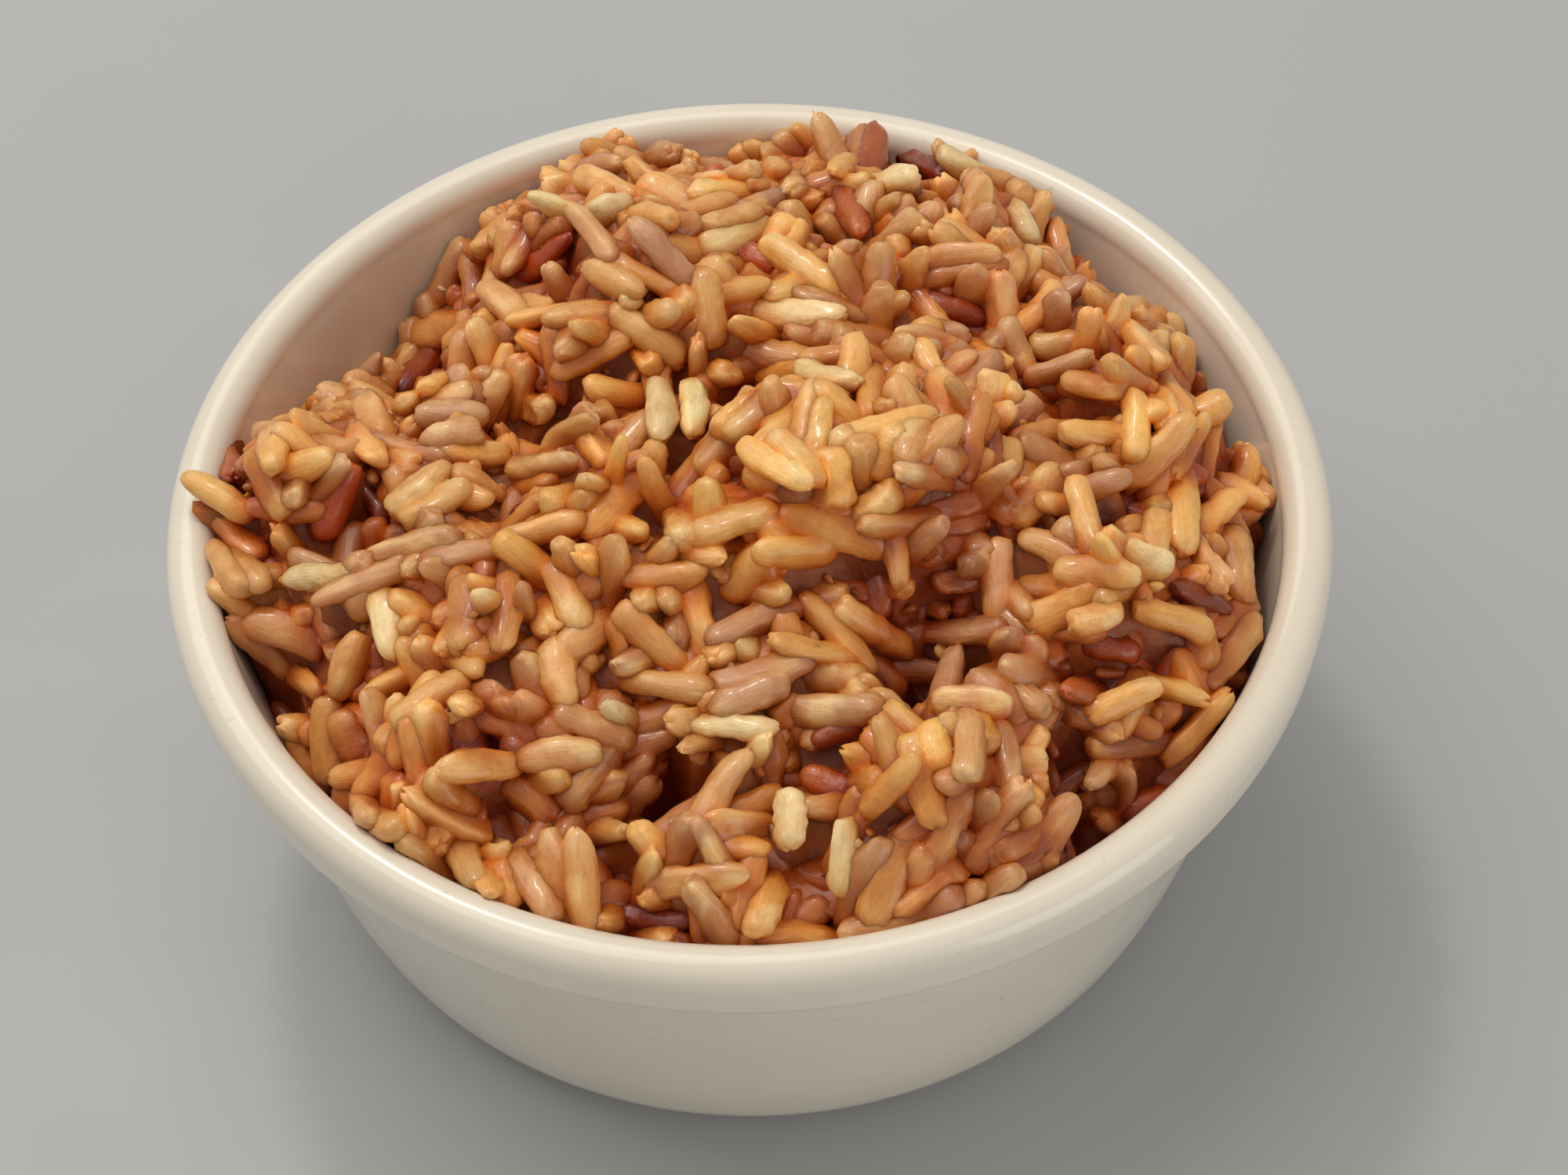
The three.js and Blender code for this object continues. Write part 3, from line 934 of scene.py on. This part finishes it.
class Draws:
    """Random values for a batch of grains, one for each grain."""

    def __init__(self, burst, rng):
        self.burst = burst[:, None, None]
        self.rng = rng

    def each(self, low, high):
        return self.rng.uniform(low, high, self.burst.shape)

    def whole(self, low, high):
        return self.rng.integers(low, high, self.burst.shape)

    def if_burst(self, low, high, other=0.0):
        return np.where(self.burst, self.each(low, high), other)


def blunt_girth(t, draw):
    """Girth at shares -1 to 1 of the length: blunt at both ends and thicker towards one."""
    girth = (1 - np.abs(t) ** draw.each(2.6, 6.0)) ** (1 / draw.each(2.0, 2.8))
    taper = draw.each(-0.14, 0.14) * t
    return girth * (1 + taper + draw.each(-0.02, 0.05) * np.cos(np.pi * t * draw.each(0.8, 1.6)))


def facets(turned, draw):
    """Share of the girth that is left where the sides are flat between a few corners."""
    corners = draw.whole(4, 7)
    off = (turned + draw.each(0, TURN)) % (2 * np.pi / corners) - np.pi / corners
    return 1 - draw.each(0.2, 0.75) * (1 - np.cos(np.pi / corners) / np.cos(off))


def relief(t, angle, turned, draw):
    """Ridges and dents, and a groove along the side that gapes in a burst grain."""
    lumps = draw.each(0.02, 0.08) * np.cos(3 * turned + draw.each(0, TURN))
    for _ in range(5):
        turns = draw.whole(1, 5)
        size = draw.each(0.006, 0.045)
        lumps = lumps + size * np.sin(turns * angle + draw.each(-15, 15) * t + draw.each(0, TURN))
    off = np.angle(np.exp(1j * (turned - draw.each(0.2, 2.9))))
    fade = np.clip(1 - np.abs(t) ** 5, 0, 1)
    groove = draw.if_burst(0.15, 0.5, draw.each(0.0, 0.08)) * fade * np.exp(-((off / 0.4) ** 2))
    banks = draw.if_burst(0.05, 0.2) * fade * np.exp(-(((np.abs(off) - 0.8) / 0.35) ** 2))
    return lumps - groove + banks


def own_places(t, angle, rng):
    """Each point's place in its grain's frame, moved to a part of the noise of its own."""
    count = len(t)
    local = np.stack([3 * t, np.cos(angle), np.sin(angle)], -1).reshape(count, -1, 3)
    ends = np.broadcast_to(np.array([3.0, 0.0, 0.0]), (count, 1, 3))
    return np.concatenate([-ends, local, ends], 1) + rng.uniform(0, 60, (count, 1, 3))


def grain_points(size, burst, fineness, rng):
    """Points of grains along X: blunt, bent and ridged, some burst at an end or along a side."""
    count = len(size)
    ring_count, side_count = fineness
    draw = Draws(burst, rng)
    t = -np.cos(np.pi * (np.arange(ring_count) + 0.5) / ring_count)
    angle = 2 * np.pi * np.arange(side_count) / side_count
    t, angle = np.broadcast_arrays(t[None, :, None], angle[None, None, :])
    t, angle = np.repeat(t, count, 0), np.repeat(angle, count, 0)
    girth = blunt_girth(t, draw)
    turned = angle + draw.each(-0.5, 0.5) * t
    girth = girth * facets(turned, draw)
    lumps = relief(t, angle, turned, draw)
    flare = draw.if_burst(0.0, 0.28) * np.clip(t / 0.9, 0, 1) ** 2
    ragged = draw.if_burst(0.02, 0.10, draw.each(0.0, 0.05)) * np.clip((t - 0.5) / 0.5, 0, 1)
    wide_waves = np.sin(3 * angle + draw.each(0, TURN))
    fringe = ragged * (wide_waves + 0.6 * np.sin(5 * angle + draw.each(0, TURN)))
    slant = draw.each(-0.12, 0.12) * np.cos(angle + draw.each(0, TURN)) * girth
    reach = np.minimum(t, draw.each(0.91, 1.1) + slant)
    reach = np.maximum(reach, -draw.each(0.91, 1.1) + slant) + fringe
    length, width, thickness = (size[:, k, None, None] for k in range(3))
    radius = girth * (1 + lumps + flare)
    bow = t * t - 0.33
    y = width / 2 * radius * np.cos(angle) + draw.each(-0.04, 0.04) * length * bow
    z = thickness / 2 * radius * np.sin(angle) + draw.each(-0.03, 0.03) * length * bow
    rings = np.stack([length / 2 * reach, y, z], -1)
    head, tail = rings[:, 0].mean(1), rings[:, -1].mean(1)
    tail[:, 0] -= np.where(burst, size[:, 0] * 0.05, 0.0)
    points = np.concatenate([head[:, None], rings.reshape(count, -1, 3), tail[:, None]], 1)
    share = np.concatenate([[-1.0], np.repeat(t[0, :, 0], side_count), [1.0]])
    return points, own_places(t, angle, rng), share


def laid_grains(a, b, size, burst, fineness, rng):
    """Grain meshes that lie along a to b: points, places on the grain and shares of its length."""
    count = len(a)
    along = unit(b - a)
    side = unit(np.cross(np.tile([0.0, 0.0, 1.0], (count, 1)), along) + 1e-4)
    up = np.cross(along, side)
    roll = rng.normal(0, 0.6, count)[:, None]
    side, up = side * np.cos(roll) + up * np.sin(roll), up * np.cos(roll) - side * np.sin(roll)
    points, local, share = grain_points(size, burst, fineness, rng)
    points = np.einsum("nvk,nkc->nvc", points, np.stack([along, side, up], 1))
    return points + ((a + b) / 2)[:, None], local, share


def stuck(points, pile):
    """Points raised to a fillet where another grain is near, and how near it is."""
    lift = np.zeros(points.shape[:2])
    touch = np.zeros(points.shape[:2])
    pairs = np.stack(pile.neighbours(STICK), 1)
    for i, j in np.concatenate([pairs, pairs[:, ::-1]]):
        a, way = pile.a[j], pile.b[j] - pile.a[j]
        share = np.clip((points[i] - a) @ way / (way @ way), 0, 1)
        gap = np.linalg.norm(points[i] - a - share[:, None] * way, axis=1) - pile.radius[j] / FIT
        near = np.clip(1 - np.abs(gap) / STICK, 0, 1)
        lift[i] += STICK / 4 * near**2
        touch[i] += near
    way = pile.b - pile.a
    share = np.einsum("nvc,nc->nv", points - pile.a[:, None], way) / (way * way).sum(1)[:, None]
    out = points - pile.a[:, None] - np.clip(share, 0, 1)[..., None] * way[:, None]
    out = unit(out) * np.minimum(lift, STICK_RISE)[..., None]
    return points + out, np.clip(touch, 0, 1.5)


def pressed(points, gap=CLEAR):
    """Points moved in where they would enter the bowl's wall, and down from the top."""
    far = np.hypot(points[..., 0], points[..., 1])
    wall = np.where(points[..., 2] < BOWL_HEIGHT, inside_radius(points[..., 2]), RIM_RADIUS) - gap
    shrink = np.minimum(1, wall / np.maximum(far, CLEAR))
    top = np.minimum(points[..., 2], HIGHEST - CLEAR)
    return np.concatenate([points[..., :2] * shrink[..., None], top[..., None]], -1)


# ---- Colours of the grains ----
# Grains that are shaded and moist, in between, and golden or lit: the spread is partly the grains' own
# colour and partly painted light and shade.
TONES = np.array([(0.57, 0.278, 0.145), (0.79, 0.412, 0.134), (0.93, 0.532, 0.142)])
STARCH = np.array([0.95, 0.69, 0.33])
PALE = np.array([0.93, 0.75, 0.41])
FRAYED = np.array([0.96, 0.74, 0.38])
DARK_RED = np.array([0.25, 0.042, 0.010])
RED_GLOW = np.array([0.74, 0.20, 0.035])
CORE_TINT = np.array([0.60, 0.31, 0.12])
CREVICE_SHADE_FADE = np.array([0.12, 0.345, 0.71])  # painted shade in crevices: how fast red, green and blue fade for each mm of depth
SHADE_START, SHADE_END = 0.8, 6.8
# Painted shade where another grain lies close.
TOUCH_SHADE = 0.8

# Waves over a grain's own frame, whose crests are where its bran has peeled off the starch.
BRAN_WAVES = ((0.8, 1.3, 0.4), (-0.7, 0.8, 1.5), (1.5, -0.6, 0.9), (0.5, 2.1, -1.2))


def with_alpha(shaded_tints):
    return np.concatenate([shaded_tints, np.ones((*shaded_tints.shape[:-1], 1))], -1)


def painted_crevice_shade(depth):
    """Colour left by painted shade at a depth below the nearest crests: darker and browner deeper in the
    crevices.
    """
    return np.exp(-CREVICE_SHADE_FADE * np.clip(depth - SHADE_START, 0, SHADE_END - SHADE_START)[..., None])


def tone_and_light_tints(kinds, tone_and_light, rng):
    """Each grain's colour by its kind and tone, with the patches' painted light and shade carried in the
    tone.
    """
    count = len(kinds)
    up = np.clip(tone_and_light, 0, 1)[:, None]
    down = np.clip(-tone_and_light, 0, 1)[:, None]
    tint = TONES[1] + (TONES[2] - TONES[1]) * up + (TONES[0] - TONES[1]) * down
    pale = PALE + (tint - PALE) * rng.uniform(0, 0.25, (count, 1))
    tint = np.where((kinds == "pale")[:, None], pale, tint)
    glow = DARK_RED + (RED_GLOW - DARK_RED) * rng.uniform(0.05, 0.75, (count, 1))
    tint = np.where((kinds == "red")[:, None], glow, tint)
    return tint * np.exp(rng.normal(0, 0.10, (count, 1)))


def grain_tints(kinds, tone_and_light, local, share, touch, depth, rng):
    """A tint for each point: the grain's colour, paler at an end, with painted shade deeper in crevices
    and where grains touch.
    """
    count = len(kinds)
    tint = tone_and_light_tints(kinds, tone_and_light, rng)[:, None]
    waves = sum(np.sin(local @ np.array(way)) for way in BRAN_WAVES)
    peeled = np.clip((waves - rng.normal(1.0, 0.5, (count, 1))) / 0.9, 0, 1)
    peeled = peeled * np.where(kinds == "red", 0.0, rng.uniform(0.2, 0.8, count))[:, None]
    tint = tint + (STARCH - tint) * peeled[..., None]
    ends = np.clip((share - 0.2) / 0.8, 0, 1)[None, :, None] ** 2
    bright = np.where((kinds == "red")[:, None], RED_GLOW, FRAYED)[:, None]
    tint = tint + (bright - tint) * ends * rng.uniform(-0.1, 0.5, (count, 1, 1))
    # Painted shade: darker with depth below the crests and near a touching grain.
    return with_alpha(np.clip(tint * painted_crevice_shade(depth + TOUCH_SHADE * touch**2), 0, 1))


# ---- Pieces of the rice ----
def make_grain_piece(name, points, local, shaded_tints, fineness, material):
    """Many grains as one piece."""
    grain = ring_faces(*fineness)[:, ::-1]
    start = points.shape[1] * np.arange(len(points))[:, None, None]
    faces = (grain[None] + start).reshape(-1, 3)
    make_piece(name, points, faces, material, "rice", "rice", tint=shaded_tints, grain_place=local)


def make_grains(pile, size, tone_and_light, kinds, crests, rng):
    """The grains of the pile, with one piece for each kind."""
    burst = rng.random(len(kinds)) < np.where(kinds == "pale", PALE_BURST_SHARE, BURST_SHARE)
    points, local, share = laid_grains(pile.a, pile.b, size, burst, GRAIN_FINENESS, rng)
    points, touch = stuck(points, pile)
    points = pressed(points)
    shaded_tints = grain_tints(kinds, tone_and_light, local, share, touch, crests.above(points), rng)
    skins = dict.fromkeys(np.unique(kinds), grain_material("rice_skin", 0.30, 1.1))
    skins["pale"] = grain_material("rice_pale", 0.32, 1.1)
    skins["red"] = grain_material("rice_red", 0.16, 0.7)
    for kind, skin in skins.items():
        its = kinds == kind
        name = "grains_" + str(kind)
        make_grain_piece(name, points[its], local[its], shaded_tints[its], GRAIN_FINENESS, skin)


CRUMB_COUNT = 560
CRUMB_FINENESS = (7, 8)
CRUMB_RADIUS = RIM_RADIUS * 0.86
PALE_CRUMB_SHARE = 0.2
BURST_CRUMB_SHARE = 0.6


def make_crumbs(mass, crests, rng):
    """Scraps of starch and bran that stick in the crevices, on the mass between the grains."""
    far = CRUMB_RADIUS * np.sqrt(rng.random(CRUMB_COUNT))
    around = rng.uniform(0, 2 * np.pi, CRUMB_COUNT)
    x, y = far * np.cos(around), far * np.sin(around)
    middle = np.stack([x, y, mass.at(x, y) + rng.uniform(0.0, 0.5, CRUMB_COUNT)], -1)
    length = rng.uniform(1.2, 3.2, CRUMB_COUNT)
    width = length * rng.uniform(0.4, 0.85, CRUMB_COUNT)
    size = np.stack([length, width, width * rng.uniform(0.4, 0.9, CRUMB_COUNT)], -1)
    way = rng.normal(0, 1, (CRUMB_COUNT, 3))
    burst = rng.random(CRUMB_COUNT) < BURST_CRUMB_SHARE
    ends = middle - way, middle + way
    points, local, share = laid_grains(*ends, size, burst, CRUMB_FINENESS, rng)
    points = pressed(points)
    depth = crests.above(points)
    kinds = np.where(rng.random(CRUMB_COUNT) < PALE_CRUMB_SHARE, "pale", "tan")
    tone_and_light = np.clip(tone_and_light_lean(x, y) + rng.normal(0, 0.5, CRUMB_COUNT), -1, 1)
    # Painted shade deeper in the crevices, as on the grains.
    shaded_tints = grain_tints(kinds, tone_and_light, local, share, np.zeros(depth.shape), depth, rng)
    skin = grain_material("rice_crumb", 0.32, 1.1)
    make_grain_piece("rice_crumbs", points, local, shaded_tints, CRUMB_FINENESS, skin)


# ---- The sticky mass between the grains ----
MASS_DROP = 2.0
MASS_RIPPLE = 0.16
MASS_BLEND = 0.8
CREVICE = 1.3  # half the width of the crevices that the mass fills


def mass_heights(tops, rng):
    """Heights that fill the narrow crevices between grains and leave wide gaps."""
    mass = tops.over(np.max, CREVICE).over(np.min, CREVICE)
    gx, gy = grid_places()
    waves = np.zeros_like(gx)
    for _ in range(14):
        angle = rng.uniform(0, 2 * np.pi)
        pitch = rng.uniform(0.25, 1.1)
        waves += np.sin(pitch * (gx * np.cos(angle) + gy * np.sin(angle)) + rng.uniform(0, TURN))
    mass = Heights(mass.values - MASS_DROP + MASS_RIPPLE * waves)
    return mass.over(np.mean, MASS_BLEND).over(np.mean, MASS_BLEND)


def make_core(mass, crests):
    """The sticky mass that the grains sit in, down to the floor of the bowl."""
    sides, top_rings, side_rings = 260, 92, 14
    angle = 2 * np.pi * np.arange(sides) / sides
    cos, sin = np.cos(angle), np.sin(angle)
    edge = np.full(sides, HEAP_EDGE)
    for _ in range(8):
        edge = inside_radius(mass.at(edge * cos, edge * sin)) - WALL_GAP
    rings = []
    for k in range(1, top_rings + 1):
        x, y = edge * cos * k / top_rings, edge * sin * k / top_rings
        rings.append(np.stack([x, y, mass.at(x, y)], -1))
    floor = FLOOR_HEIGHT + 0.2 + WALL_GAP
    edge_height = rings[-1][:, 2]
    for k in range(1, side_rings + 1):
        z = edge_height + (floor - edge_height) * k / side_rings
        r = inside_radius(z) - WALL_GAP
        rings.append(np.stack([r * cos, r * sin, z], -1))
    middle = mass.at(np.zeros(1), np.zeros(1))[0]
    points = np.concatenate([[(0, 0, middle)], *rings, [(0, 0, floor)]])
    points = pressed(points, WALL_GAP)
    faces = ring_faces(len(rings), sides)
    # Painted shade: the mass darkens with depth below the crests.
    shaded_tints = with_alpha(CORE_TINT * painted_crevice_shade(crests.above(points)))
    make_piece("rice_core", points, faces, core_material(), "rice", "rice", tint=shaded_tints)


# ---- Floor and light ----
FLOOR_HALF = 3.0  # metres
WORLD_COLOUR = (1.0, 0.94, 0.86, 1.0)
WORLD_STRENGTH = 0.44
LIGHT_AIM = Vector((0, 0, 0.04))

# Lights: name, place and size in metres, power in watts, colour.
LIGHTS = (
    ("key", (-0.28, 0.26, 0.72), 0.80, 3.65, (1.0, 0.94, 0.84)),
    ("lamp", (-0.16, 0.34, 0.72), 0.09, 0.9, (1.0, 0.96, 0.88)),
    ("fill", (0.55, -0.45, 0.22), 0.45, 1.1, (1.0, 0.96, 0.90)),
)


def make_floor():
    mesh = bpy.data.meshes.new("floor")
    corners = [(FLOOR_HALF * x, FLOOR_HALF * y, 0) for x, y in ((-1, -1), (1, -1), (1, 1), (-1, 1))]
    mesh.from_pydata(corners, [], [(0, 1, 2, 3)])
    mesh.materials.append(floor_material())
    floor = bpy.data.objects.new("floor", mesh)
    scene.collection.objects.link(floor)


def add_light(name, place, size, power, colour):
    data = bpy.data.lights.new(name, "AREA")
    data.size = size
    data.energy = power
    data.color = colour
    light = bpy.data.objects.new(name, data)
    place = Vector(place)
    light.location = place
    light.rotation_euler = (place - LIGHT_AIM).to_track_quat("Z", "Y").to_euler()
    scene.collection.objects.link(light)


def make_light():
    """Soft light from all round, and three area lights."""
    world = bpy.data.worlds.new("world")
    world.use_nodes = True
    background = world.node_tree.nodes["Background"]
    background.inputs["Color"].default_value = WORLD_COLOUR
    background.inputs["Strength"].default_value = WORLD_STRENGTH
    scene.world = world
    for light in LIGHTS:
        add_light(*light)
    scene.view_settings.view_transform = "Standard"


make_floor()
make_light()
make_bowl()
rng = np.random.default_rng(SEED)
pile, size, tone_and_light, kinds = lay_pile(rng)
tops = pile_tops(pile)
# Crests that the painted shade in the crevices is measured down from.
crests = tops.over(np.max, CREST_REACH).over(np.mean, CREST_BLEND)
make_grains(pile, size, tone_and_light, kinds, crests, rng)
mass = mass_heights(tops, rng)
make_core(mass, crests)
make_crumbs(mass, crests, rng)
